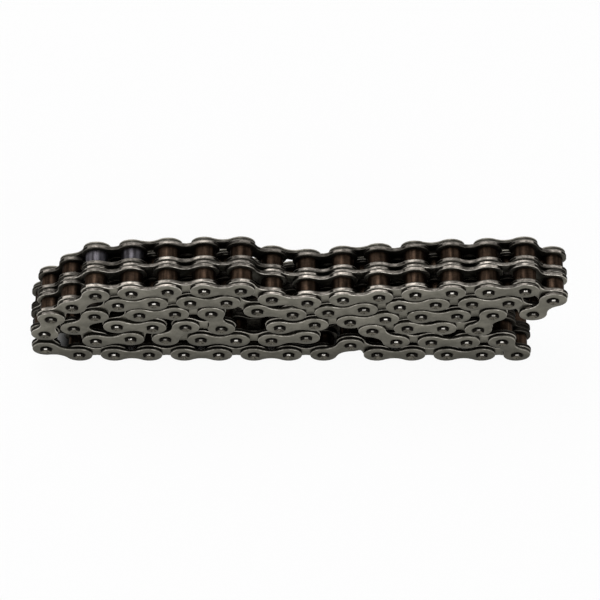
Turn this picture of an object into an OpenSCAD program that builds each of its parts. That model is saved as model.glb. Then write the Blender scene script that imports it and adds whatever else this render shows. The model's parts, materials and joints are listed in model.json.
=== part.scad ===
// Duplex roller chain, an endless loop of 76 links folded into a stack.
// X runs along the stack, Y along the pins and Z up. The origin is in the
// middle of the underside. Sizes are in millimetres and follow the 8 mm pitch
// duplex size of the European roller chain standard.

/* [Strands] */
// Distance between neighbouring pins
pitch = 8; // [8:0.1:9]
// Distance between the middles of the two strands
strand_pitch = 5.64; // [5.64:0.02:5.8]
// Clear width between the two inner plates of a strand
inner_width = 3; // [2.6:0.05:3]

/* [Plates] */
// Thickness of an inner plate
inner_plate_t = 0.85; // [0.7:0.05:0.85]
// Thickness of an outer plate, and of the centre plate between the strands
outer_plate_t = 0.74; // [0.6:0.02:0.74]
// Height of an inner plate, across its round head
inner_plate_h = 6.6; // [6.2:0.1:6.6]
// Height of an outer or centre plate, across its round head
outer_plate_h = 6.2; // [5.8:0.1:6.4]
// Height of every plate at its waist
waist_h = 3.5; // [3:0.1:3.7]

/* [Pins, bushes and rollers] */
// Diameter of a pin
pin_d = 2.3; // [2.2:0.01:2.32]
// Length of pin that stands out of an outer plate
pin_stand_out = 0.45; // [0.3:0.05:0.6]
// Diameter of a pin's riveted end
rivet_d = 2.7; // [2.5:0.05:2.9]
// Bore of a bush, in which its pin turns
bush_bore_d = 2.36; // [2.34:0.01:2.46]
// Outer diameter of a bush
bush_d = 3.4; // [3.2:0.05:3.6]
// Outer diameter of a roller
roller_d = 5; // [4.6:0.1:5.1]
// Bevel at a roller's rims
roller_rim = 0.2; // [0.1:0.05:0.3]

/* [Fits] */
// Clearance all round a bush inside its roller
roller_play = 0.06; // [0.05:0.01:0.1]
// Clearance between a roller and each inner plate
roller_end_play = 0.05; // [0.03:0.01:0.1]
// Line between two pieces that are pressed together
press_line = 0.01; // [0.01:0.005:0.02]

/* [Hidden] */
$fn = 48;

// The fold, as the heading of every link in degrees, starting at the open
// pivot and going once round the loop: 0 heads to the right, 90 straight up.
bottom_run = [-24, 0, 0, 0, 0, 0, 0, 0, 40, -40, 0, 0, 0, 0];
right_turn = [119];
second_run_right = [182, 180, 178, 134];
third_run_right = [10, 0, -5];
right_riser = [69];
fourth_run = [183, 182, 189, 191, 190, 191];
tuck_under = [-42];
second_run_middle = [190, 180, 178, 178];
middle_curl = [53, -5, 105, 181, 185, 228];
left_curl = [-3, 229, 188, 124, 51, 46];
fifth_run = [6, 3, 1, -33, -12, 7, 11, 9, 9, 2, 3];
right_end = [-43, 61, 144];
top_run = [185, 183, 186, 189, 189, 191, 168, 147, 181, 183, 186, 188];
left_wrap = [226, 230];
headings = concat(
    bottom_run, right_turn, second_run_right, third_run_right, right_riser,
    fourth_run, tuck_under, second_run_middle, middle_curl, left_curl,
    fifth_run, right_end, top_run, left_wrap
);
link_count = len(headings) + 2;

// Pins reached by following the headings, one pitch at a time.
function step(deg) = pitch * [cos(deg), sin(deg)];
function walk(from, k) =
    k == len(headings) ? [from]
    : concat([from], walk(from + step(headings[k]), k + 1));
walked = walk([0, 0], 0);

// The last pin closes the loop: one pitch from both of its neighbours.
function closing_pin(a, b) =
    let (half = (b - a) / 2, rise = sqrt(pitch ^ 2 - half * half))
    a + half + rise * [half.y, -half.x] / norm(half);
loop_pins = concat(walked, [closing_pin(walked[len(walked) - 1], walked[0])]);

loop_x = [for (p = loop_pins) p.x];
loop_z = [for (p = loop_pins) p.y];
ground = min(loop_z) - inner_plate_h / 2;
centre = (min(loop_x) + max(loop_x)) / 2;
pins = [for (p = loop_pins) [p.x - centre, p.y - ground]];

// Places across the chain.
strands = [-strand_pitch / 2, strand_pitch / 2];
inner_plate_y = (inner_width + inner_plate_t) / 2;
outer_plate_y = strand_pitch;
outer_face_y = outer_plate_y + outer_plate_t / 2;
bush_len = inner_width + 2 * inner_plate_t;

// Bores, each a press line or a running clearance over what it takes.
pin_hole_d = pin_d + 2 * press_line;
bush_hole_d = bush_d + 2 * press_line;
roller_bore_d = bush_d + 2 * roller_play;

// How far a through cut reaches past each end of what it cuts.
overcut = 1;

// Groups of links, counted from the open pivot. Even links are outer links
// and odd ones inner links.
bottom_links = [0:13];
turn_link = 14;
fold_links = [15:21];
riser_link = 22;
middle_links = [23:39];
upper_links = [40:56];
end_inner = 57;
end_outer = 58;
first_top = 59;
top_count = 17;
function is_outer(k) = k % 2 == 0;
function two_digits(k) = k < 10 ? str("0", k) : str(k);

group_pieces = [
    "outer_plates", "centre_plates", "pins", "inner_plates", "bushes",
    "rollers"
];
function group_nodes(group) = [for (piece = group_pieces) str(group, "_", piece)];
function top_node(k) =
    str("top_", is_outer(first_top + k - 1) ? "outer" : "inner", "_link_", two_digits(k));
function top_roller_node(k) = str("top_rollers_", two_digits(k));

steel = [0.40, 0.39, 0.37];
rubbed_steel = [0.62, 0.61, 0.58];
browned_steel = [0.27, 0.21, 0.18];

// Link k in its own frame: its first pin at the origin, X towards its second.
module on_link(k) {
    from = pins[k];
    to = pins[(k + 1) % link_count];
    translate([from.x, 0, from.y])
        rotate([0, -atan2(to.y - from.y, to.x - from.x), 0])
            children();
}

// A piece turned about Z, laid along the pin at number k.
module on_pin(k) {
    p = pins[k % link_count];
    translate([p.x, 0, p.y]) rotate([-90, 0, 0]) children();
}

// Outline of a plate: two round heads and a waist drawn in by an arc.
module plate_outline(height, hole_d) {
    head_r = height / 2;
    waist = waist_h / 2;
    arc_r = ((pitch / 2) ^ 2 + waist ^ 2 - head_r ^ 2) / (2 * (head_r - waist));
    arc_y = waist + arc_r;
    shoulder = head_r * arc_y / norm([pitch / 2, arc_y]);
    difference() {
        union() {
            circle(r = head_r);
            translate([pitch, 0]) circle(r = head_r);
            difference() {
                translate([0, -0.97 * shoulder]) square([pitch, 1.94 * shoulder]);
                for (side = [-1, 1]) translate([pitch / 2, side * arc_y]) circle(r = arc_r);
            }
        }
        circle(d = hole_d);
        translate([pitch, 0]) circle(d = hole_d);
    }
}

module plate(height, hole_d, thickness, y) {
    translate([0, y + thickness / 2, 0])
        rotate([90, 0, 0])
            linear_extrude(thickness) plate_outline(height, hole_d);
}

module inner_plates_of(k) {
    color(steel) on_link(k)
        for (strand = strands, side = [-1, 1])
            plate(inner_plate_h, bush_hole_d, inner_plate_t, strand + side * inner_plate_y);
}

module outer_plates_of(k) {
    color(steel) on_link(k)
        for (side = [-1, 1])
            plate(outer_plate_h, pin_hole_d, outer_plate_t, side * outer_plate_y);
}

module centre_plate_of(k) {
    color(steel) on_link(k) plate(outer_plate_h, pin_hole_d, outer_plate_t, 0);
}

// Half of a pin's profile beyond the outer plate: spread by riveting, with a
// shallow punched hollow in its end.
function rivet_profile(reach) = [
    [pin_d / 2, reach], [rivet_d / 2, reach + 0.03],
    [rivet_d / 2 - 0.05, reach + 0.6 * pin_stand_out],
    [0.72 * rivet_d / 2, reach + pin_stand_out],
    [0.3 * rivet_d / 2, reach + pin_stand_out],
    [0, reach + 0.7 * pin_stand_out]
];

module pin_at(k) {
    front = rivet_profile(outer_face_y + 0.02);
    color(rubbed_steel) on_pin(k) rotate_extrude()
        polygon(concat(
            front,
            [for (i = [len(front) - 1:-1:0]) [front[i].x, -front[i].y]]
        ));
}

// The open pivot keeps its rivets and centre stud only as deep as the plates
// that hold them, so that the last link can leave it.
module open_pivot_rivets() {
    head = rivet_profile(outer_face_y + 0.02);
    shoulder_y = outer_plate_y - outer_plate_t / 2;
    color(rubbed_steel) on_pin(0) {
        for (side = [0, 1]) mirror([0, 0, side]) rotate_extrude()
            polygon(concat([[0, shoulder_y], [pin_d / 2, shoulder_y]], head));
        translate([0, 0, -outer_plate_t / 2]) cylinder(d = pin_d, h = outer_plate_t);
    }
}

module bushes_of(k) {
    color(steel) for (end = [0, 1], strand = strands)
        on_pin(k + end) translate([0, 0, strand - bush_len / 2])
            difference() {
                cylinder(d = bush_d, h = bush_len);
                translate([0, 0, -overcut])
                    cylinder(d = bush_bore_d, h = bush_len + 2 * overcut);
            }
}

module roller() {
    half = inner_width / 2 - roller_end_play;
    rotate_extrude() polygon([
        [roller_bore_d / 2, -half], [roller_d / 2 - roller_rim, -half],
        [roller_d / 2, -half + roller_rim], [roller_d / 2, half - roller_rim],
        [roller_d / 2 - roller_rim, half], [roller_bore_d / 2, half]
    ]);
}

module rollers_of(k) {
    color(browned_steel) for (end = [0, 1], strand = strands)
        on_pin(k + end) translate([0, 0, strand]) roller();
}

// One kind of piece from every link of a group. A group's pins are those of
// its outer links; an outer link owns both of its pins.
module group_piece(links, piece) {
    for (k = links) {
        if (is_outer(k)) {
            if (piece == "outer_plates") outer_plates_of(k);
            if (piece == "centre_plates") centre_plate_of(k);
            if (piece == "pins") for (end = [0, 1]) if (k + end > 0) pin_at(k + end);
        } else {
            if (piece == "inner_plates") inner_plates_of(k);
            if (piece == "bushes") bushes_of(k);
            if (piece == "rollers") rollers_of(k);
        }
    }
}

module outer_link_plates(k) {
    outer_plates_of(k);
    centre_plate_of(k);
}

module outer_link_pins(k) {
    pin_at(k);
    pin_at(k + 1);
}

module outer_link(k) {
    outer_link_plates(k);
    outer_link_pins(k);
}

module inner_link(k) {
    inner_plates_of(k);
    bushes_of(k);
}

for (piece = group_pieces) {
    group_piece(bottom_links, piece);
    group_piece(fold_links, piece);
    group_piece(middle_links, piece);
    group_piece(upper_links, piece);
}
open_pivot_rivets();
outer_link_plates(turn_link);  // right_turn_plates
outer_link_pins(turn_link);  // right_turn_pins
outer_link_plates(riser_link);  // riser_plates
outer_link_pins(riser_link);  // riser_pins
inner_link(end_inner);  // end_inner_link
rollers_of(end_inner);  // end_rollers
outer_link(end_outer);  // end_outer_link
for (k = [1:top_count]) {
    union() {
        if (is_outer(first_top + k - 1)) outer_link(first_top + k - 1);
        else inner_link(first_top + k - 1);
    }
    rollers_of(first_top + k - 1);
}
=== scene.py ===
"""Endless two-strand drive chain, folded in a stack of five layers.

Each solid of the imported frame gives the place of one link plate, pin, bush or
roller. Geometry Nodes set a finished piece there: waisted plates with a rounded
blanking edge, pins with riveted ends, and turned bushes and rollers. Sizes are in
millimetres, and each tree's last step brings them to metres.
"""
import sys
import json
import logging
import math
from dataclasses import dataclass, field, replace
from enum import Enum

import bpy
import numpy as np
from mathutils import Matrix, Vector

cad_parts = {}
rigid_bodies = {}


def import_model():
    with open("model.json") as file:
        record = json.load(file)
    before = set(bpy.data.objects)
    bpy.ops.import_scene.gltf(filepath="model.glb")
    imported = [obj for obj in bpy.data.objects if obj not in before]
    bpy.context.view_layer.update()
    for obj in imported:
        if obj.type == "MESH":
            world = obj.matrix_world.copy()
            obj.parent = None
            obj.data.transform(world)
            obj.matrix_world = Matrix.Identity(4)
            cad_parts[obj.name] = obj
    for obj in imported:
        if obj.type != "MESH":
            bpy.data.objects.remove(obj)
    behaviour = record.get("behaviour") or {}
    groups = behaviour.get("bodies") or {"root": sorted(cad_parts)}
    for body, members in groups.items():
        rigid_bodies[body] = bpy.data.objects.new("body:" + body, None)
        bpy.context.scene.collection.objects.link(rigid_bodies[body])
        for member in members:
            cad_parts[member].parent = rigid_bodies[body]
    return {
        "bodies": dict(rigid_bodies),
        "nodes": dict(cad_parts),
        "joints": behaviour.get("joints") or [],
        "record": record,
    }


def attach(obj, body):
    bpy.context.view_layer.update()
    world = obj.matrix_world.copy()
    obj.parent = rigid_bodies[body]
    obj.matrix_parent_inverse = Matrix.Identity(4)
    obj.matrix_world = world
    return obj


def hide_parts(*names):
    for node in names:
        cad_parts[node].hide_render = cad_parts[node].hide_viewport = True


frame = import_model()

LOG = logging.getLogger("drive_chain")
MM = 0.001
WELD = 0.002  # millimetres under which two points are one
ROUND_BIT = 0.293  # how far a round's middle lies in from its corner, as a share of its radius
WHITE = (1.0, 1.0, 1.0, 1.0)
DULL = (0.50, 0.50, 0.50, 1.0)  # tint of what worn steel reflects at grazing angles
Socket = bpy.types.NodeSocket
Ramp = tuple[float, ...]  # where a fade starts and ends, and what it gives there if not 0 and 1


def put(name: str, data: bpy.types.ID) -> bpy.types.Object:
    """Returns a new object of the scene with this data."""
    made = bpy.data.objects.new(name, data)
    bpy.context.scene.collection.objects.link(made)
    return made


class Kind(Enum):
    """The kinds of piece that the chain is made of."""

    OUTER_PLATE = "plates_outer"
    CENTRE_PLATE = "plates_centre"
    INNER_PLATE = "plates_inner"
    PIN = "pin_set"
    STUD = "stud_set"
    BUSH = "bush_set"
    ROLLER = "roller_set"


@dataclass(frozen=True)
class Solid:
    """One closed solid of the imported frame, in millimetres."""

    kind: Kind
    node: str
    body: str
    centre: tuple[float, float, float]
    length: float
    heading: float = 0.0
    cover: float = 0.0


class ChainFrame:
    """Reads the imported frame's nodes as single solids, and says where each piece of the chain lies."""

    GRID = 1000  # steps to a millimetre at which corners are matched
    # Limits in millimetres that tell the kinds apart.
    PLATE_WIDE, INNER_PLATE_THICK, CENTRE_PLATE_OFF = 6.0, 0.8, 2.0
    ROLLER_WIDE, BUSH_WIDE, PIN_LONG = 4.5, 3.0, 12.0
    HEAD_REACH = 3.2  # from a plate's pivot to its end
    OVERHEAD = 4.2  # how far along X a pivot may be to count as over another

    def __init__(self, loaded: dict) -> None:
        """Splits every node of the loaded frame into its solids."""
        bodies = loaded["record"]["behaviour"]["bodies"]
        found = [
            (node, body, corners)
            for body, names in bodies.items()
            for node in names
            for corners in self._solids_of(loaded["nodes"][node])
        ]
        round_ones = [c for _, _, c in found if self._kind(c) in (Kind.PIN, Kind.STUD)]
        self.pivots = np.unique(np.round([self._middle(c)[[0, 2]] for c in round_ones], 2), axis=0)
        self.solids = [self._solid(*one) for one in found]
        self.bodies = list(bodies)

    @staticmethod
    def _solids_of(node: bpy.types.Object) -> list[np.ndarray]:
        """Gives the corners of each closed solid of a node.

        Args:
            node: The node's mesh object, of loose triangles.

        Returns:
            One array of corners for each solid, in millimetres.
        """
        mesh = node.data
        points = np.empty(len(mesh.vertices) * 3, np.float32)
        mesh.vertices.foreach_get("co", points)
        mesh.calc_loop_triangles()
        faces = np.empty(len(mesh.loop_triangles) * 3, np.int32)
        mesh.loop_triangles.foreach_get("vertices", faces)
        grid = np.round(points.reshape(-1, 3).astype(float) / MM * ChainFrame.GRID).astype(np.int64)
        places, first = np.unique(grid, axis=0, return_inverse=True)
        faces = first.reshape(-1)[faces].reshape(-1, 3)
        label = np.arange(len(places))
        while True:
            low = label[faces].min(axis=1)
            new = label.copy()
            np.minimum.at(new, faces.ravel(), np.repeat(low, 3))
            new = new[new]
            if np.array_equal(new, label):
                break
            label = new
        return [places[label == one] / ChainFrame.GRID for one in np.unique(label)]

    @staticmethod
    def _middle(corners: np.ndarray) -> np.ndarray:
        """Returns the middle of the corners' box."""
        return (corners.min(axis=0) + corners.max(axis=0)) / 2

    @classmethod
    def _kind(cls, corners: np.ndarray) -> Kind:
        """Tells a solid's kind from its box."""
        width, length, height = np.ptp(corners, axis=0)
        if max(width, height) > cls.PLATE_WIDE:
            if length > cls.INNER_PLATE_THICK:
                return Kind.INNER_PLATE
            centred = abs(corners[:, 1].mean()) < cls.CENTRE_PLATE_OFF
            return Kind.CENTRE_PLATE if centred else Kind.OUTER_PLATE
        if width > cls.ROLLER_WIDE:
            return Kind.ROLLER
        if width > cls.BUSH_WIDE:
            return Kind.BUSH
        return Kind.PIN if length > cls.PIN_LONG else Kind.STUD

    def _solid(self, node: str, body: str, corners: np.ndarray) -> Solid:
        """Makes the record of one solid, with a plate's middle and heading set by its two pivots.

        Args:
            node: The node that holds it.
            body: The body that it rides on.
            corners: Its corners.

        Returns:
            The solid's kind, place, length along Y, heading, and how high the chain rises over it.
        """
        kind, middle = self._kind(corners), self._middle(corners)
        length = float(np.ptp(corners[:, 1]))
        if kind not in (Kind.OUTER_PLATE, Kind.CENTRE_PLATE, Kind.INNER_PLATE):
            return Solid(kind, node, body, tuple(middle), length)
        flat = corners[:, [0, 2]] - middle[[0, 2]]
        along = np.linalg.eigh(flat.T @ flat)[1][:, -1]
        along = along if along[0] > 0 else -along
        reach = np.ptp(flat @ along) / 2 - self.HEAD_REACH
        ends = [
            self.pivots[np.argmin(np.hypot(*(self.pivots - middle[[0, 2]] - side * reach * along).T))]
            for side in (-1, 1)
        ]
        x, z = (ends[0] + ends[1]) / 2
        dx, dz = ends[1] - ends[0]
        near = [self.pivots[abs(self.pivots[:, 0] - end[0]) < self.OVERHEAD] for end in ends]
        cover = min(float(row[:, 1].max() - end[1]) for row, end in zip(near, ends))
        return Solid(kind, node, body, (x, middle[1], z), length, math.atan2(dz, dx), cover)

    def of(self, body: str, *kinds: Kind) -> list[Solid]:
        """Returns the solids of these kinds that ride on a body."""
        return [s for s in self.solids if s.body == body and s.kind in kinds]


class Bench:
    """Lays the nodes of one tree and links them. It serves shapes and finishes alike."""

    def __init__(self, tree: bpy.types.NodeTree) -> None:
        """Takes the tree to fill."""
        self.tree = tree

    def lay(self, kind: str, feeds: dict | None = None, **settings: object) -> bpy.types.Node:
        """Adds a node.

        Args:
            kind: The node's type name.
            feeds: Values or sockets for its inputs, by name or index.
            settings: The node's own properties.

        Returns:
            The new node.
        """
        node = self.tree.nodes.new(kind)
        for name, value in settings.items():
            setattr(node, name, value)
        for key, value in (feeds or {}).items():
            named = (socket for socket in node.inputs if socket.name == key and socket.enabled)
            self.feed(node.inputs[key] if isinstance(key, int) else next(named), value)
        return node

    def result(self, kind: str, feeds: dict | None = None, **settings: object) -> Socket:
        """Adds a node and returns its first output."""
        return self.lay(kind, feeds, **settings).outputs[0]

    def feed(self, socket: Socket, value: object) -> None:
        """Links an input to a socket or a list of sockets, or sets it to a constant."""
        if isinstance(value, bpy.types.NodeSocket):
            self.tree.links.new(value, socket)
        elif isinstance(value, list):
            for one in reversed(value):
                self.tree.links.new(one, socket)
        else:
            socket.default_value = value

    def calc(self, operation: str, *values: object) -> Socket:
        """Returns the result of one Math node on these values."""
        return self.result("ShaderNodeMath", dict(enumerate(values)), operation=operation)

    def vector(self, operation: str, *values: object) -> Socket:
        """Returns the result of one Vector Math node on these values."""
        node = self.lay("ShaderNodeVectorMath", dict(enumerate(values)), operation=operation)
        return node.outputs["Value" if operation == "LENGTH" else "Vector"]

    def add(self, a: object, b: object) -> Socket:
        """Returns a + b."""
        return self.calc("ADD", a, b)

    def sub(self, a: object, b: object) -> Socket:
        """Returns a - b."""
        return self.calc("SUBTRACT", a, b)

    def mul(self, first: object, *others: object) -> Socket:
        """Returns the product of the values."""
        for other in others:
            first = self.calc("MULTIPLY", first, other)
        return first

    def div(self, a: object, b: object) -> Socket:
        """Returns a / b."""
        return self.calc("DIVIDE", a, b)

    def abs(self, a: object) -> Socket:
        """Returns a without its sign."""
        return self.calc("ABSOLUTE", a)

    def fade(self, value: Socket, start: float, end: float, low: float = 0.0, high: float = 1.0) -> Socket:
        """Maps a value smoothly from start..end to low..high.

        Args:
            value: The value to map.
            start: Where low is reached.
            end: Where high is reached.
            low: Result at start.
            high: Result at end.

        Returns:
            The mapped value.
        """
        feeds = {"Value": value, "From Min": start, "From Max": end, "To Min": low, "To Max": high}
        return self.result("ShaderNodeMapRange", feeds, interpolation_type="SMOOTHSTEP")

    def split(self, vector: Socket) -> tuple[Socket, Socket, Socket]:
        """Returns a vector's three parts."""
        return tuple(self.lay("ShaderNodeSeparateXYZ", {0: vector}).outputs)

    def join(self, x: object, y: object, z: object) -> Socket:
        """Returns the vector of three parts."""
        return self.result("ShaderNodeCombineXYZ", {0: x, 1: y, 2: z})


class PieceTree(Bench):
    """A Geometry Nodes tree that makes one piece and sets copies of it on the points it is given."""

    def __init__(self, name: str) -> None:
        """Starts a tree of this name, with its points, material and seed."""
        super().__init__(bpy.data.node_groups.new(name, "GeometryNodeTree"))
        face = self.tree.interface
        face.new_socket("Places", in_out="INPUT", socket_type="NodeSocketGeometry")
        self.inlet = self.tree.nodes.new("NodeGroupInput")
        self.identifiers: dict[str, str] = {}
        self.material = self.size("Material", None, "NodeSocketMaterial")
        self.seed = self.size("Seed", 1, "NodeSocketInt")
        face.new_socket("Pieces", in_out="OUTPUT", socket_type="NodeSocketGeometry")

    def size(self, name: str, value: object, kind: str = "NodeSocketFloat") -> Socket:
        """Adds a named input with a default, and returns the socket that carries it inside the tree."""
        item = self.tree.interface.new_socket(name, in_out="INPUT", socket_type=kind)
        if value is not None:
            item.default_value = value
        self.identifiers[name] = item.identifier
        return next(s for s in self.inlet.outputs if s.identifier == item.identifier)

    def table(self, index: Socket, rows: list) -> Socket:
        """Returns the row's value that the index picks."""
        node = self.lay("GeometryNodeIndexSwitch", data_type="FLOAT")
        while len(node.index_switch_items) < len(rows):
            node.index_switch_items.new()
        self.feed(node.inputs[0], index)
        for place, value in enumerate(rows):
            self.feed(node.inputs[place + 1], value)
        return node.outputs[0]

    def sheet(self, around: Socket, stations: int) -> tuple[Socket, Socket, Socket]:
        """Returns a flat sheet to wrap round the piece, with its angle round it and its row number."""
        feeds = {"Size X": 1.0, "Size Y": 1.0, "Vertices X": self.add(around, 1.0), "Vertices Y": stations}
        grid = self.result("GeometryNodeMeshGrid", feeds)
        x, y, _ = self.split(self.result("GeometryNodeInputPosition"))
        angle = self.mul(self.add(x, 0.5), 2 * math.pi)
        row = self.calc("ROUND", self.mul(self.add(y, 0.5), float(stations - 1)))
        return grid, angle, row

    def leg(self, slant: Socket, other: Socket) -> Socket:
        """Returns a right triangle's leg from its slant and other leg, and 0 where there is none."""
        square = self.sub(self.mul(slant, slant), self.mul(other, other))
        return self.calc("SQRT", self.calc("MAXIMUM", square, 0.0))

    def placed(self, mesh: Socket, position: Socket) -> Socket:
        """Returns the mesh with its points moved to a position."""
        return self.result("GeometryNodeSetPosition", {"Geometry": mesh, "Position": position})

    def moved(self, mesh: Socket, shift: Socket) -> Socket:
        """Returns the geometry moved by a shift."""
        return self.result("GeometryNodeTransform", {"Geometry": mesh, "Translation": shift})

    def flipped(self, mesh: Socket) -> Socket:
        """Returns the mesh turned inside out."""
        return self.result("GeometryNodeFlipFaces", {"Mesh": mesh})

    def welded(self, mesh: Socket) -> Socket:
        """Returns the mesh with its meeting points merged."""
        return self.result("GeometryNodeMergeByDistance", {"Geometry": mesh, "Distance": WELD})

    def kept(self, mesh: Socket, name: str, value: Socket, kind: str, domain: str) -> Socket:
        """Returns the geometry with a value kept on it as a named attribute."""
        feeds = {"Geometry": mesh, "Name": name, "Value": value}
        return self.result("GeometryNodeStoreNamedAttribute", feeds, data_type=kind, domain=domain)

    def turn_up(self, sheet: Socket, angle: Socket, radius: Socket, level: Socket, crease: float) -> None:
        """Wraps a sheet round the axis at these radii and levels, and finishes it as a turned piece."""
        x, y = self.mul(radius, self.calc("COSINE", angle)), self.mul(radius, self.calc("SINE", angle))
        self.finish(self.flipped(self.placed(sheet, self.join(x, y, level))), crease)

    def finish(self, mesh: Socket, crease: float) -> None:
        """Closes the piece, sets it on every place, and makes it real.

        Args:
            mesh: The piece's parts, in millimetres, about its own middle.
            crease: The angle in degrees past which an edge stays sharp.
        """
        one = self.result("GeometryNodeSetShadeSmooth", {"Geometry": self.welded(mesh), "Shade Smooth": True})
        bend = {"A": self.result("GeometryNodeInputMeshEdgeAngle"), "B": math.radians(crease)}
        sharp = self.result("FunctionNodeCompare", bend, operation="GREATER_THAN")
        feeds = {"Geometry": one, "Selection": sharp, "Shade Smooth": False}
        one = self.result("GeometryNodeSetShadeSmooth", feeds, domain="EDGE")
        one = self.kept(one, "own", self.result("GeometryNodeInputPosition"), "FLOAT_VECTOR", "POINT")
        one = self.result("GeometryNodeTransform", {"Geometry": one, "Scale": (MM, MM, MM)})
        turn = self.result("GeometryNodeInputNamedAttribute", {"Name": "turn"}, data_type="FLOAT_VECTOR")
        spin = self.result("FunctionNodeEulerToRotation", {0: turn})
        feeds = {"Points": self.inlet.outputs[0], "Instance": one, "Rotation": spin}
        row = self.result("GeometryNodeInstanceOnPoints", feeds)
        draw = {"Min": 0.0, "Max": 1.0, "Seed": self.seed}
        chance = self.lay("FunctionNodeRandomValue", draw, data_type="FLOAT").outputs[1]
        row = self.kept(row, "tone", chance, "FLOAT", "INSTANCE")
        row = self.result("GeometryNodeRealizeInstances", {"Geometry": row})
        row = self.result("GeometryNodeSetMaterial", {"Geometry": row, "Material": self.material})
        self.feed(self.lay("NodeGroupOutput").inputs[0], row)


def plate_tree() -> PieceTree:
    """Makes the tree of a waisted link plate with two bores.

    Returns:
        The tree. The plate lies in its own XY plane, with its rounded side up.
    """
    tree = PieceTree("link_plate")
    pitch, head = tree.size("Pitch", 8.0), tree.size("Head Height", 6.6)
    waist, thick, bore = tree.size("Waist Height", 3.5), tree.size("Thickness", 0.85), tree.size("Bore", 2.3)
    top_round, low_round = tree.size("Blanked Edge Radius", 0.16), tree.size("Burr Edge Radius", 0.07)
    around = tree.size("Points Around", 48, "NodeSocketInt")
    bore_facets = tree.size("Points In A Bore", 14, "NodeSocketInt")

    # The waist is an arc that meets both heads, worked out from their heights.
    half, radius, low = tree.div(pitch, 2.0), tree.div(head, 2.0), tree.div(waist, 2.0)
    rise = tree.sub(tree.add(tree.mul(half, half), tree.mul(low, low)), tree.mul(radius, radius))
    hollow = tree.div(rise, tree.mul(2.0, tree.sub(radius, low)))
    hollow_middle = tree.add(low, hollow)

    # The band is the plate's wall with its two rounded edges.
    sheet, angle, row = tree.sheet(around, stations=6)
    up, down = tree.div(thick, 2.0), tree.div(thick, -2.0)
    low_bit, top_bit = tree.mul(low_round, ROUND_BIT), tree.mul(top_round, ROUND_BIT)
    inset = tree.table(row, [low_round, low_bit, 0.0, 0.0, top_bit, top_round])
    lower = [down, tree.add(down, low_bit), tree.add(down, low_round)]
    level = tree.table(row, [*lower, tree.sub(up, top_round), tree.sub(up, top_bit), up])
    edge, dip = tree.sub(radius, inset), tree.add(hollow, inset)
    x = tree.mul(tree.add(half, edge), tree.calc("COSINE", angle))
    reach = tree.abs(x)
    on_head = tree.leg(edge, tree.sub(reach, half))
    in_waist = tree.sub(hollow_middle, tree.leg(dip, reach))
    tangent = tree.div(tree.mul(half, dip), tree.add(radius, hollow))
    waisted = tree.calc("LESS_THAN", reach, tangent)
    height = tree.add(tree.mul(waisted, in_waist), tree.mul(tree.sub(1.0, waisted), on_head))
    y = tree.mul(height, tree.calc("SIGN", tree.calc("SINE", angle)))
    closed = tree.welded(tree.placed(sheet, tree.join(x, y, level)))

    # Two bores, and a face on either side, filled between the band's rim and the bores.
    bore_radius = tree.div(bore, 2.0)
    ring = tree.result("GeometryNodeCurvePrimitiveCircle", {"Resolution": bore_facets, "Radius": bore_radius})
    drum = {"Vertices": bore_facets, "Radius": bore_radius, "Depth": thick}
    tube = tree.flipped(tree.result("GeometryNodeMeshCylinder", drum, fill_type="NONE"))
    parts, rings = [], []
    for side in (1.0, -1.0):
        shift = tree.join(tree.mul(half, side), 0.0, 0.0)
        parts.append(tree.moved(tube, shift))
        rings.append(tree.moved(ring, shift))
    _, _, at = tree.split(tree.result("GeometryNodeInputPosition"))
    rim = tree.calc("COMPARE", tree.result("GeometryNodeInputMeshEdgeNeighbors"), 1.0, 0.1)
    for side, place in ((1.0, up), (-1.0, down)):
        near = tree.calc("GREATER_THAN", tree.mul(at, side), 0.0)
        outline = tree.result("GeometryNodeMeshToCurve", {"Mesh": closed, "Selection": tree.mul(rim, near)})
        loops = tree.result("GeometryNodeJoinGeometry", {0: [outline, *rings]})
        cap = tree.result("GeometryNodeFillCurve", {"Curve": loops}, mode="TRIANGLES")
        cap = cap if side > 0 else tree.flipped(cap)
        parts.append(tree.moved(cap, tree.join(0.0, 0.0, place)))
    whole = tree.result("GeometryNodeJoinGeometry", {0: [closed, *parts]})
    tree.finish(whole, crease=50.0)
    return tree


def tube_tree() -> PieceTree:
    """Makes the tree of a plain turned tube with rounded rims, for bushes and rollers.

    Returns:
        The tree. The tube's axis is its own Z.
    """
    tree = PieceTree("turned_tube")
    outside, bore = tree.size("Outside Diameter", 5.0), tree.size("Bore Diameter", 3.5)
    length, corner = tree.size("Length", 2.9), tree.size("Rim Radius", 0.2)
    lead = tree.size("Bore Lead", 0.08)
    around = tree.size("Points Around", 24, "NodeSocketInt")
    sheet, angle, row = tree.sheet(around, stations=11)
    wide, slim, end = tree.div(outside, 2.0), tree.div(bore, 2.0), tree.div(length, 2.0)
    bit = tree.mul(corner, ROUND_BIT)
    lip, shoulder, turn = tree.add(slim, lead), tree.sub(wide, corner), tree.sub(wide, bit)
    foot = tree.mul(end, -1.0)
    radii = [lip, shoulder, turn, wide, wide, turn, shoulder, lip, slim, slim, lip]
    levels = [
        end, end, tree.sub(end, bit), tree.sub(end, corner), tree.sub(corner, end), tree.sub(bit, end),
        foot, foot, tree.sub(lead, end), tree.sub(end, lead), end,
    ]
    tree.turn_up(sheet, angle, tree.table(row, radii), tree.table(row, levels), crease=50.0)
    return tree


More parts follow.
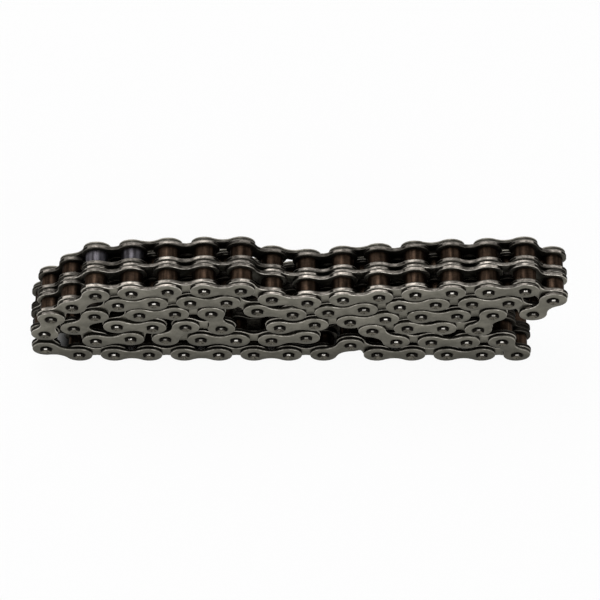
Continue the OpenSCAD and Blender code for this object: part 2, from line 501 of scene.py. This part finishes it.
def pin_tree() -> PieceTree:
    """Makes the tree of a pin whose ends are spun over into rivets with a shallow dimple.

    Returns:
        The tree. The pin's axis is its own Z, and its near end is up.
    """
    tree = PieceTree("riveted_pin")
    shank, length = tree.size("Shank Diameter", 2.3), tree.size("Length Between Rivets", 12.02)
    rivet, proud = tree.size("Rivet Diameter", 2.7), tree.size("Stand Out", 0.45)
    dimple, depth = tree.size("Dimple Diameter", 1.1), tree.size("Dimple Depth", 0.12)
    heads = [tree.size("Near Rivet", 1.0), tree.size("Far Rivet", 1.0)]
    around = tree.size("Points Around", 20, "NodeSocketInt")
    sheet, angle, row = tree.sheet(around, stations=18)
    wide, spare, end = tree.div(shank, 2.0), tree.div(tree.sub(rivet, shank), 2.0), tree.div(length, 2.0)
    # Rows from the middle of an end outwards. In the dimple: shares of its radius and of its depth.
    dimple_rows = ((0.0, 1.0), (0.55, 0.9), (1.0, 0.25), (1.12, 0.0))
    # On the rivet: millimetres added to the shank's radius, and shares of the flare and of the stand-out.
    rivet_rows = ((-0.12, 0.55, 0.06), (0.0, 0.8, 0.3), (0.0, 1.0, 0.62), (0.0, 1.0, 1.0))
    undercut = 0.01
    radii: list = []
    levels: list = []
    for head, side in zip(heads, (1.0, -1.0)):
        flare, rise, pit = tree.mul(spare, head), tree.mul(proud, head), tree.mul(depth, head)
        face = tree.add(end, rise)
        rs = [tree.mul(tree.div(dimple, 2.0), share) for share, _ in dimple_rows]
        zs = [tree.sub(face, tree.mul(pit, drop)) for _, drop in dimple_rows]
        rs += [tree.add(tree.add(wide, extra), tree.mul(flare, share)) for extra, share, _ in rivet_rows]
        zs += [tree.sub(face, tree.mul(rise, drop)) for _, _, drop in rivet_rows]
        rs, zs = [*rs, wide], [*zs, tree.sub(end, tree.mul(head, undercut))]
        if side < 0:
            rs, zs = rs[::-1], [tree.mul(z, -1.0) for z in zs[::-1]]
        radii += rs
        levels += zs
    tree.turn_up(sheet, angle, tree.table(row, radii), tree.table(row, levels), crease=65.0)
    return tree


class Finish(Bench):
    """A procedural metal: the base that each finish builds on."""

    SPREAD = 40.0  # how far apart two pieces can lie in a noise

    def __init__(self, name: str) -> None:
        """Starts a material of this name."""
        self.material = bpy.data.materials.new(name)
        self.material.use_nodes = True
        super().__init__(self.material.node_tree)
        self.tree.nodes.clear()
        self.shader = self.lay("ShaderNodeBsdfPrincipled", {"Metallic": 1.0})
        self.feed(self.lay("ShaderNodeOutputMaterial").inputs[0], self.shader.outputs[0])
        place = self.lay("ShaderNodeTexCoord")
        self.spot, self.facing = place.outputs["Object"], place.outputs["Normal"]
        self.own = self.lay("ShaderNodeAttribute", attribute_name="own").outputs["Vector"]
        self.tone = self.lay("ShaderNodeAttribute", attribute_name="tone").outputs["Fac"]
        self.trait = self.lay("ShaderNodeAttribute", attribute_name="trait").outputs["Fac"]

    def noise(self, scale: float, detail: float = 3.0, where: Socket | None = None) -> Socket:
        """Returns a noise of this scale, centred on 0.5, on the piece's place or another vector."""
        feeds = {"Vector": where or self.spot, "Scale": scale, "Detail": detail, "Roughness": 0.55}
        return self.result("ShaderNodeTexNoise", feeds)

    def shift(self) -> Socket:
        """Returns a vector that differs from piece to piece, to set their noises apart."""
        return self.join(self.mul(self.tone, self.SPREAD), 0.0, 0.0)

    def blend(self, share: object, a: object, b: object) -> Socket:
        """Returns two colours mixed, with this share of the second."""
        node = self.lay("ShaderNodeMix", data_type="RGBA")
        for place, value in ((0, share), (6, a), (7, b)):
            self.feed(node.inputs[place], value)
        return node.outputs[2]

    def finish(self, colour: Socket, factor: object, rough: Socket, grazing: tuple = WHITE) -> None:
        """Gives the shader its colour times a factor, its roughness, and its tint at grazing angles."""
        scaled = self.result("ShaderNodeVectorMath", {0: colour, 3: factor}, operation="SCALE")
        for name, value in (("Base Color", scaled), ("Roughness", rough), ("Specular Tint", grazing)):
            self.feed(self.shader.inputs[name], value)

    def relief(self, height: Socket, strength: float, depth: float) -> None:
        """Raises the surface by a height, of which 1 stands for this depth in metres."""
        feeds = {"Height": height, "Strength": strength, "Distance": depth}
        self.feed(self.shader.inputs["Normal"], self.result("ShaderNodeBump", feeds))


@dataclass(frozen=True)
class PlateSteel:
    """Satin blanked steel: grey faces, painted shade on inner sides, over the rivets and deep in the stack,
    dark sheared edges with painted highlights on crests that face up, and light edge lines of wear and
    painted highlight.

    Its lengths are millimetres, but near_floor's, which are metres.
    """

    dark: tuple = (0.150, 0.143, 0.118, 1.0)
    light: tuple = (0.203, 0.193, 0.161, 1.0)
    # Dark sheared wall, partly the steel's own colour and partly painted shade on walls outside the painted
    # crest highlight.
    sheared: tuple = (0.015, 0.013, 0.011, 1.0)
    # Painted highlight on the crests of walls that face up.
    painted_crest_highlight: tuple = (0.64, 0.58, 0.515, 1.0)
    # Light edge line, partly real edge wear and partly a painted highlight, stronger in the top row.
    edge_wear_and_highlight: tuple = (0.60, 0.565, 0.505, 1.0)
    # Painted shade: the dark used over the rivets, on the plates' inner sides and on plates deep in the
    # stack.
    painted_shade: tuple = (0.020, 0.017, 0.014, 1.0)
    mottle: Ramp = (0.36, 0.66)
    # Where the painted shade falls: round the top of each rivet, on the inner side, and on plates inside the
    # stack.
    round_rivet: Ramp = (1.80, 1.36)
    shade_over_rivet: Ramp = (0.1, 0.7, 0.0, 0.9)
    shade_on_inner_side: Ramp = (0.1, -0.2, 0.0, 0.6)
    shade_deep_in_stack: Ramp = (0.0, 0.3, 0.75, 0.0)
    below_top_row: Ramp = (0.4, 0.9)
    outer_half: Ramp = (-0.1, 0.0)
    off_the_face: Ramp = (0.08, 0.16)
    # Where the painted crest highlight lies: walls that face up, on the heads, off the faces, in patches,
    # strongest in the top row.
    level_enough: Ramp = (0.76, 0.83)
    head_inset: float = 0.3
    waist_to_head: Ramp = (0.35, 1.0)
    inside_the_edges: Ramp = (0.14, 0.25)
    patches: Ramp = (0.38, 0.62, 0.35, 1.0)
    highlight_by_tone: Ramp = (0.0, 1.0, 0.40, 1.0)
    highlight_by_row: Ramp = (0.3, 1.0, 0.02, 1.0)
    # Where the light edge line lies, with less of its painted highlight below the top row.
    arris_in: Ramp = (0.18, 0.05)
    arris_down: Ramp = (0.26, 0.14)
    arris_wear: Ramp = (0.35, 0.62, 0.15, 0.8)
    arris_on_wall: Ramp = (0.0, 1.0, 1.0, 0.4)
    arris_outward: Ramp = (-0.2, 0.2, 0.1, 1.0)
    arris_by_row: Ramp = (0.0, 0.45, 0.1, 1.0)
    # Painted shade: plates darken towards the floor.
    near_floor: Ramp = (0.001, 0.020, 0.60, 1.0)
    by_tone: Ramp = (0.0, 1.0, 0.92, 1.08)
    by_grain: Ramp = (0.2, 0.8, 0.93, 1.07)
    gloss: Ramp = (0.3, 0.7, 0.38, 0.46)

    def material(self, plates: "LinkPlates") -> bpy.types.Material:
        """Makes the finish for plates of one size.

        Args:
            plates: The plates that will wear it.

        Returns:
            The material.
        """
        bench = Finish("satin_steel_" + plates.suffix)
        fade, mul = bench.fade, bench.mul
        x, y, z = bench.split(bench.own)
        tall, reach = bench.abs(y), bench.abs(x)
        half, radius, low = plates.pitch / 2, plates.head / 2, plates.waist / 2
        from_bore = bench.vector("LENGTH", bench.join(bench.sub(reach, half), y, 0.0))
        hollow = (half**2 + low**2 - radius**2) / (2 * (radius - low))
        from_hollow = bench.vector("LENGTH", bench.join(x, bench.sub(low + hollow, tall), 0.0))
        waisted = bench.calc("LESS_THAN", reach, half * hollow / (radius + hollow))
        inland = bench.add(
            mul(waisted, bench.sub(from_hollow, hollow)),
            mul(bench.sub(1.0, waisted), bench.sub(radius, from_bore)),
        )
        broad, fine, patchy = bench.noise(420.0, 4.0), bench.noise(2600.0), bench.noise(700.0)

        colour = bench.blend(fade(broad, *self.mottle), self.dark, self.light)
        # Painted shade over the upper half of each rivet, on the inner side, and on plates deep in the stack.
        oiled = mul(fade(from_bore, *self.round_rivet), fade(y, *self.shade_over_rivet))
        for share in (oiled, fade(z, *self.shade_on_inner_side), fade(bench.trait, *self.shade_deep_in_stack)):
            colour = bench.blend(share, colour, self.painted_shade)

        level = bench.sub(plates.thick / 2, bench.abs(z))
        rolled = mul(fade(bench.trait, *self.below_top_row, plates.rolled, 0.0), fade(z, *self.outer_half))
        wall = fade(bench.sub(level, rolled), *self.off_the_face)
        # Painted highlight on wall crests that face up, set by their normal, mostly in the top row.
        crest_highlight_share = mul(
            fade(bench.abs(bench.split(bench.facing)[2]), *self.level_enough),
            fade(tall, low + self.head_inset, radius - self.head_inset, *self.waist_to_head),
            fade(level, *self.inside_the_edges),
            fade(patchy, *self.patches),
            fade(bench.tone, *self.highlight_by_tone),
            fade(bench.trait, *self.highlight_by_row),
        )
        colour = bench.blend(wall, colour, bench.blend(crest_highlight_share, self.sheared, self.painted_crest_highlight))
        # Light edge line: real edge wear with a painted highlight, weaker below the top row.
        arris = mul(
            fade(inland, *self.arris_in),
            fade(level, *self.arris_down),
            fade(bench.noise(900.0), *self.arris_wear),
            fade(wall, *self.arris_on_wall),
            fade(z, *self.arris_outward),
            fade(bench.trait, *self.arris_by_row),
        )
        colour = bench.blend(arris, colour, self.edge_wear_and_highlight)

        # Painted shade: darker towards the floor.
        by_height = fade(bench.split(bench.spot)[2], *self.near_floor)
        factor = mul(fade(bench.tone, *self.by_tone), fade(fine, *self.by_grain), by_height)
        rough = bench.add(fade(broad, *self.gloss), bench.sub(mul(wall, 0.10), mul(arris, 0.12)))
        bench.finish(colour, factor, rough, DULL)
        drawn = bench.noise(1.0, 2.0, bench.vector("MULTIPLY", bench.own, (9.0, 9.0, 0.6)))
        bench.relief(bench.add(mul(drawn, 0.4), mul(fine, 0.6)), 0.3, 0.00002)
        return bench.material


@dataclass(frozen=True)
class PinSteel:
    """Hardened steel, dark on its round sides, with lined grey ends that have painted shade on their upper
    flanks and painted glints at their upper rims.
    """

    # Dark pin steel; on the ends it also serves as painted shade.
    dark: tuple = (0.008, 0.007, 0.006, 1.0)
    face: tuple = (0.150, 0.138, 0.111, 1.0)
    lined: tuple = (0.030, 0.027, 0.022, 1.0)
    # Painted highlight: the glints at the ends' upper rims.
    bright: tuple = (0.95, 0.92, 0.86, 1.0)
    lines: Ramp = (0.42, 0.54)
    # Shape of the painted shade on an end: a grey wedge that widens downwards, with shade over its top and
    # flanks.
    half_width: Ramp = (0.9, -0.6, 0.30, 1.20)
    sag: Ramp = (0.2, -0.5, 0.0, 0.35)
    face_sides: Ramp = (0.10, -0.06)
    rim_fade: float = 0.10
    glint_inset: float = 0.15
    glint_band: Ramp = (0.30, 0.14)
    glint_height: Ramp = (0.42, 0.72)
    glint_sides: Ramp = (0.14, 0.0)
    glint_chips: Ramp = (0.62, 0.74)
    glint_by_tone: Ramp = (0.15, 0.85, 0.22, 1.0)
    gloss: Ramp = (0.3, 0.7, 0.46, 0.34)

    def material(self, name: str, rim: float) -> bpy.types.Material:
        """Makes the finish of the pins.

        Args:
            name: The material's name.
            rim: How far from the pin's axis the spun end reaches before it rounds over.

        Returns:
            The material.
        """
        bench = Finish(name)
        fade, mul = bench.fade, bench.mul
        x, y, _ = bench.split(bench.own)
        flat = bench.join(x, y, 0.0)
        radial, outward = bench.vector("LENGTH", flat), bench.vector("NORMALIZE", flat)
        spokes = bench.noise(3.2, 2.0, bench.vector("ADD", outward, bench.shift()))
        chips = bench.noise(2600.0, 2.0)
        face = bench.blend(fade(spokes, *self.lines), self.lined, self.face)
        # Painted shade over the top and flanks of each end; the grey wedge between them stays clear.
        flank = bench.sub(bench.abs(x), fade(y, *self.half_width))
        inside = bench.sub(radial, fade(y, *self.sag))
        spun = mul(fade(inside, rim + self.rim_fade, rim), fade(flank, *self.face_sides))
        # Painted highlight: glints along the upper rim of each end.
        foot, top = self.glint_height
        glint = mul(
            fade(bench.abs(bench.sub(radial, rim - self.glint_inset)), *self.glint_band),
            fade(y, rim * foot, rim * top),
            fade(flank, *self.glint_sides),
            fade(bench.add(chips, mul(spokes, 0.5)), *self.glint_chips),
            fade(bench.tone, *self.glint_by_tone),
        )
        colour = bench.blend(glint, bench.blend(spun, self.dark, face), self.bright)
        bench.finish(colour, 1.0, fade(chips, *self.gloss), DULL)
        bench.relief(bench.add(spokes, mul(chips, 0.5)), 0.5, 0.00006)
        return bench.material


@dataclass(frozen=True)
class RollerSteel:
    """Heat-browned roller steel, polished a little where sprocket teeth ran. Two rollers are blued."""

    brown: tuple = (0.020, 0.013, 0.009, 1.0)
    bronze: tuple = (0.044, 0.028, 0.019, 1.0)
    blued: tuple = (0.080, 0.077, 0.088, 1.0)
    rim: tuple = (0.075, 0.058, 0.047, 1.0)
    polish: Ramp = (0.55, 0.95)
    clouds: Ramp = (0.2, 0.7, 0.6, 1.0)
    rim_width: Ramp = (0.22, 0.08)
    rim_share: float = 0.5
    by_tone: Ramp = (0.0, 1.0, 0.80, 1.15)
    by_line: Ramp = (0.40, 0.60, 0.60, 1.35)
    gloss: Ramp = (0.3, 0.7, 0.34, 0.44)

    def material(self, name: str, length: float) -> bpy.types.Material:
        """Makes the finish of the rollers.

        Args:
            name: The material's name.
            length: A roller's length.

        Returns:
            The material.
        """
        bench = Finish(name)
        fade, mul = bench.fade, bench.mul
        x, y, z = bench.split(bench.own)
        across = bench.vector("MULTIPLY", bench.own, (0.5, 0.5, 5.0))
        bands = bench.noise(2.2, 4.0, bench.vector("ADD", across, bench.shift()))
        lines = bench.noise(1.1, 3.0, bench.vector("ADD", bench.join(x, y, mul(z, 0.12)), bench.shift()))
        cloud = bench.noise(500.0)
        worn = bench.add(bands, mul(cloud, 0.5))
        colour = bench.blend(fade(worn, *self.polish), self.brown, self.bronze)
        colour = bench.blend(mul(bench.trait, fade(cloud, *self.clouds)), colour, self.blued)
        edge = fade(bench.abs(z), *(length / 2 - width for width in self.rim_width))
        colour = bench.blend(mul(edge, self.rim_share), colour, self.rim)
        factor = mul(fade(bench.tone, *self.by_tone), fade(lines, *self.by_line))
        bench.finish(colour, factor, fade(bands, *self.gloss), DULL)
        bench.relief(worn, 0.2, 0.00002)
        return bench.material


@dataclass(frozen=True)
class BushSteel:
    """Dark oiled steel of the bushes, which show only at their rims."""

    base: tuple = (0.022, 0.019, 0.016, 1.0)
    worn: tuple = (0.070, 0.063, 0.055, 1.0)
    wear: Ramp = (0.35, 0.7)
    gloss: Ramp = (0.3, 0.7, 0.45, 0.3)

    def material(self, name: str) -> bpy.types.Material:
        """Returns the finish of the bushes, under this name."""
        bench = Finish(name)
        grain = bench.noise(1500.0)
        colour = bench.blend(bench.fade(grain, *self.wear), self.base, self.worn)
        bench.finish(colour, 1.0, bench.fade(grain, *self.gloss))
        bench.relief(grain, 0.2, 0.00002)
        return bench.material


@dataclass
class PieceSet:
    """Copies of one piece, one plain mesh for each body: the base of the chain's sub-assemblies."""

    BACK_HALF = 0.1  # farther back than this, in millimetres, a piece's upper side is turned to the back

    kinds: tuple[Kind, ...] = ()
    suffix: str = ""
    slot: str = ""
    seed: int = 1
    tree: PieceTree | None = None
    material: bpy.types.Material | None = None
    sizes: dict = field(default_factory=dict)

    def turn_of(self, solid: Solid) -> tuple[float, float, float]:
        """Returns how the piece is turned, with its upper side to the nearer face of the chain."""
        side = 1.0 if solid.centre[1] > self.BACK_HALF else -1.0
        return (-side * math.pi / 2, -solid.heading, 0.0)

    def trait_of(self, solid: Solid) -> float:
        """Returns how far the piece has what sets single pieces of its set apart."""
        return 0.0

    def measures(self) -> dict[str, float]:
        """Returns the tree's sizes by name, in millimetres."""
        return {}

    def prepare(self, tree: PieceTree, material: bpy.types.Material) -> "PieceSet":
        """Takes the tree and the finish, and returns the set itself."""
        self.tree, self.material, self.sizes = tree, material, self.measures()
        return self

    def build(self, body: str, solids: list[Solid]) -> bpy.types.Object:
        """Makes the set's mesh for one body.

        Args:
            body: The body's name.
            solids: The frame's solids that it stands for.

        Returns:
            An object at the origin with a plain mesh.
        """
        name = f"{body}_{self.suffix}"
        points = bpy.data.meshes.new(name + "_places")
        points.from_pydata([Vector(s.centre) * MM for s in solids], [], [])
        turns = points.attributes.new("turn", "FLOAT_VECTOR", "POINT")
        turns.data.foreach_set("vector", np.array([self.turn_of(s) for s in solids], np.float32).ravel())
        traits = points.attributes.new("trait", "FLOAT", "POINT")
        traits.data.foreach_set("value", np.array([self.trait_of(s) for s in solids], np.float32))
        carrier = put(name + "_places", points)
        nodes = carrier.modifiers.new("pieces", "NODES")
        nodes.node_group = self.tree.tree
        seed = self.seed + 100 * len(body) + sum(map(ord, body))
        for label, value in {**self.sizes, "Seed": seed, "Material": self.material}.items():
            nodes[self.tree.identifiers[label]] = value
        carrier.data.update()
        evaluated = carrier.evaluated_get(bpy.context.evaluated_depsgraph_get())
        mesh = bpy.data.meshes.new_from_object(evaluated)
        bpy.data.objects.remove(carrier)
        mesh.name = name
        return put(name, mesh)

    def dress(self, made: bpy.types.Object, body: str, solids: list[Solid]) -> None:
        """Gives the piece its finish and its body, and hides the nodes of the solids that it stands for."""
        if self.material.name not in made.data.materials:
            made.data.materials.append(self.material)
        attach(made, body)
        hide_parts(*sorted({s.node for s in solids}))
        LOG.info("%s: %d pieces, %d faces", made.name, len(solids), len(made.data.polygons))

    def fit(self, chain: ChainFrame) -> None:
        """Builds and dresses the set on every body that has such pieces."""
        for body in chain.bodies:
            solids = chain.of(body, *self.kinds)
            if solids:
                self.dress(self.build(body, solids), body, solids)


@dataclass
class LinkPlates(PieceSet):
    """Plates of one kind, with their sizes in millimetres.

    Below the top row, the outer face's grey runs round onto the wall as far as rolled says.
    """

    COVER = 3.0  # less of the chain than this over a plate leaves it in the top row
    BACK, OUTSIDE = 5.0, 4.0  # farther back than the one, or out than the other, a plate is on a face

    pitch: float = 8.0
    head: float = 6.6
    waist: float = 3.5
    thick: float = 0.85
    bore: float = 2.3
    rolled: float = 0.0
    slot: str = "plates"

    def measures(self) -> dict[str, float]:
        """Returns the plate's sizes."""
        return {
            "Pitch": self.pitch, "Head Height": self.head, "Waist Height": self.waist,
            "Thickness": self.thick, "Bore": self.bore,
        }

    def prepare(self, tree: PieceTree, steel: PlateSteel) -> PieceSet:
        """Takes the tree, makes the finish for the plates' sizes, and returns the set itself."""
        return super().prepare(tree, steel.material(self))

    def trait_of(self, solid: Solid) -> float:
        """Tells how openly a plate lies in the stack, and so how much painted highlight and painted shade it
        gets.

        Args:
            solid: The plate's solid.

        Returns:
            1 in the top row, 0.4 at its back face, 0.3 on both faces of the lower layers, 0 inside them.
        """
        across = solid.centre[1]
        if solid.cover < self.COVER:
            return 0.4 if across > self.BACK else 1.0
        return 0.3 if abs(across) > self.OUTSIDE else 0.0


@dataclass
class TurnedTubes(PieceSet):
    """Bushes or rollers, with their sizes in millimetres."""

    outside: float = 5.0
    bore: float = 3.52
    length: float = 2.9
    rim: float = 0.2
    around: int = 24

    def measures(self) -> dict[str, float]:
        """Returns the tube's sizes."""
        return {
            "Outside Diameter": self.outside, "Bore Diameter": self.bore, "Length": self.length,
            "Rim Radius": self.rim, "Points Around": self.around,
        }


@dataclass
class Rollers(TurnedTubes):
    """Rollers, of which those on the back strand at the named pivots are blued."""

    slot: str = "rollers"
    blued: tuple[tuple[float, float], ...] = ((-43.65, 34.16), (-35.73, 35.27))

    def trait_of(self, solid: Solid) -> float:
        """Returns 1 for a roller of the back strand within a millimetre of a blued place."""
        x, y, z = solid.centre
        return float(y > 0 and any(math.hypot(x - a, z - b) < 1.0 for a, b in self.blued))


@dataclass
class RivetedPins(PieceSet):
    """Pins with both ends riveted, with their sizes in millimetres."""

    shank: float = 2.3
    face: float = 6.01
    rivet: float = 2.7
    proud: float = 0.45
    slot: str = "pins"

    def measures(self) -> dict[str, float]:
        """Returns the pin's sizes."""
        return {
            "Shank Diameter": self.shank, "Length Between Rivets": 2 * self.face,
            "Rivet Diameter": self.rivet, "Stand Out": self.proud,
        }


@dataclass
class OpenPivotRivets(RivetedPins):
    """The opened pivot's riveted ends, which stay in their outer plates, and the stud between them."""

    MIDDLE = 2.0  # a stud nearer to the chain's middle plane than this has no rivet

    def turn_of(self, solid: Solid) -> tuple[float, float, float]:
        """Returns the turn of a whole pin, so that each stud stands as its part of the pin would."""
        return (math.pi / 2, 0.0, 0.0)

    def fit(self, chain: ChainFrame) -> None:
        """Builds each stud by its own length, and joins them as one piece."""
        for body in chain.bodies:
            studs = chain.of(body, *self.kinds)
            if not studs:
                continue
            parts = []
            for stud in studs:
                x, y, z = stud.centre
                near, far = float(y < -self.MIDDLE), float(y > self.MIDDLE)
                length = stud.length - self.proud * (near + far)
                self.sizes |= {"Length Between Rivets": length, "Near Rivet": near, "Far Rivet": far}
                shank_middle = (x, y + (near - far) * self.proud / 2, z)
                parts.append(self.build(body, [replace(stud, centre=shank_middle)]))
            first = parts[0]
            with bpy.context.temp_override(active_object=first, selected_editable_objects=parts):
                bpy.ops.object.join()
            self.dress(first, body, studs)


@dataclass(frozen=True)
class Studio:
    """Camera, lamps, floor and world. Target and distance are in millimetres, other lengths in metres."""

    target: tuple[float, float, float] = (1.12, 0.65, 18.65)
    distance: float = 628.6
    elevation: float = 64.18
    lens: float = 167.5
    aim: tuple[float, float, float] = (0.0, 0.0, 0.02)
    lamps: tuple = (
        ("softbox_above", (-0.15, 0.25, 0.75), 0.45, 2.6),
        ("softbox_front", (0.45, -0.60, 0.50), 0.40, 1.6),
        ("softbox_side", (-0.70, -0.10, 0.35), 0.30, 0.7),
    )
    floor_reach: float = 3.0
    # Box under the chain where the floor carries a painted contact shadow, and how it softens at the ends.
    footprint: tuple[float, float, float] = (-0.0560, 0.0520, 0.0034)
    end_slope: float = 0.4
    whiteness: float = 0.94
    seen_edge: Ramp = (-0.0005, 0.0)
    painted_shadow_edge: Ramp = (-0.0015, 0.0, 0.04, 0.86)
    daylight: float = 0.45
    ceiling: Ramp = (0.75, 0.45)

    def camera(self) -> None:
        """Sets the camera on the chain."""
        data = bpy.data.cameras.new("camera")
        data.lens, data.sensor_width = self.lens, 36.0
        data.clip_start, data.clip_end = 0.01, 10.0
        made = put("camera", data)
        up = math.radians(self.elevation)
        back = Vector((0.0, -math.cos(up), math.sin(up)))
        made.location = (Vector(self.target) + back * self.distance) * MM
        made.rotation_euler = back.to_track_quat("Z", "Y").to_euler()
        bpy.context.scene.camera = made

    def lamp(self, name: str, place: tuple, size: float, power: float) -> None:
        """Adds a square soft lamp of this side and power in watts, turned to the chain."""
        data = bpy.data.lights.new(name, "AREA")
        data.shape, data.size, data.energy = "SQUARE", size, power
        made = put(name, data)
        made.location = place
        made.rotation_euler = (Vector(place) - Vector(self.aim)).to_track_quat("Z", "Y").to_euler()

    @staticmethod
    def where_seen(bench: Bench, share: float) -> Socket:
        """Returns the share for rays from the camera, from gloss and through glass, and 0 for the rest."""
        path = bench.lay("ShaderNodeLightPath")
        seen = bench.calc("MAXIMUM", path.outputs["Is Camera Ray"], path.outputs["Is Glossy Ray"])
        return bench.mul(bench.calc("MAXIMUM", seen, path.outputs["Is Transmission Ray"]), share)

    def floor(self) -> None:
        """Lays the pale floor. It keeps the chain's shadow, carries a painted contact shadow under it, and
        shows what hangs below.
        """
        far = self.floor_reach
        mesh = bpy.data.meshes.new("floor")
        mesh.from_pydata([(-far, -far, 0), (far, -far, 0), (far, far, 0), (-far, far, 0)], [], [(0, 1, 2, 3)])
        material = bpy.data.materials.new("pale_floor")
        material.use_nodes = True
        bench = Bench(material.node_tree)
        bench.tree.nodes.clear()
        clear = bench.result("ShaderNodeBsdfTransparent", {"Color": WHITE})
        x, y, _ = bench.split(bench.lay("ShaderNodeTexCoord").outputs["Object"])
        left, right, deep = self.footprint
        along = bench.mul(bench.calc("MAXIMUM", bench.sub(x, right), bench.sub(left, x)), self.end_slope)
        away = bench.calc("MAXIMUM", along, bench.sub(bench.abs(y), deep))
        share = bench.mul(self.where_seen(bench, self.whiteness), bench.fade(away, *self.seen_edge))
        # Painted contact shadow: the paper darkens to near black under the chain.
        grey = bench.fade(away, *self.painted_shadow_edge)
        paper = bench.result("ShaderNodeBsdfDiffuse", {"Color": bench.join(grey, grey, grey)})
        mixed = bench.result("ShaderNodeMixShader", {0: share, 1: paper, 2: clear})
        bench.feed(bench.lay("ShaderNodeOutputMaterial").inputs[0], mixed)
        mesh.materials.append(material)
        made = put("floor", mesh)

    def world(self) -> None:
        """Makes the world: a plain grey light, and white walls where they are seen, under a grey ceiling."""
        world = bpy.data.worlds.new("studio")
        world.use_nodes = True
        bench = Bench(world.node_tree)
        bench.tree.nodes.clear()
        dim = bench.result("ShaderNodeBackground", {"Color": WHITE, "Strength": self.daylight})
        white = bench.result("ShaderNodeBackground", {"Color": WHITE, "Strength": 1.0})
        _, _, height = bench.split(bench.lay("ShaderNodeTexCoord").outputs["Generated"])
        share = bench.mul(self.where_seen(bench, 1.0), bench.fade(height, *self.ceiling))
        mixed = bench.result("ShaderNodeMixShader", {0: share, 1: dim, 2: white})
        bench.feed(bench.lay("ShaderNodeOutputWorld").inputs[0], mixed)
        bpy.context.scene.world = world

    def set_up(self) -> None:
        """Sets up the whole studio."""
        self.camera()
        self.floor()
        self.world()
        for lamp in self.lamps:
            self.lamp(*lamp)
        bpy.context.scene.view_settings.view_transform = "Standard"


def main() -> None:
    """Sets up the studio and builds every sub-assembly in order."""
    logging.basicConfig(level=logging.INFO, format="%(name)s: %(message)s", stream=sys.stdout)
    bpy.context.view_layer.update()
    Studio().set_up()
    chain = ChainFrame(frame)
    LOG.info("%d solids on %d pivots", len(chain.solids), len(chain.pivots))
    plates, tubes, pins = plate_tree(), tube_tree(), pin_tree()
    steel, browned = PlateSteel(), RollerSteel().material("browned_steel", Rollers.length)
    riveted = PinSteel().material("riveted_steel", rim=1.18)
    oiled = BushSteel().material("oiled_steel")
    thin = {"head": 6.2, "thick": 0.74}
    bush = {"outside": 3.4, "bore": 2.36, "length": 4.7, "rim": 0.1, "around": 16}
    sets: list[PieceSet] = [
        LinkPlates((Kind.OUTER_PLATE,), "plates_outer", seed=11, rolled=0.25, **thin).prepare(plates, steel),
        LinkPlates((Kind.CENTRE_PLATE,), "plates_centre", seed=12, **thin).prepare(plates, steel),
        LinkPlates((Kind.INNER_PLATE,), "plates_inner", seed=13, bore=3.4).prepare(plates, steel),
        Rollers((Kind.ROLLER,), "roller_set", seed=14).prepare(tubes, browned),
        TurnedTubes((Kind.BUSH,), "bush_set", "bushes", 15, **bush).prepare(tubes, oiled),
        RivetedPins((Kind.PIN,), "pin_set", seed=16).prepare(pins, riveted),
        OpenPivotRivets((Kind.STUD,), "stud_set", seed=17).prepare(pins, riveted),
    ]
    for one in sets:
        one.fit(chain)


if __name__ == "__main__":
    main()
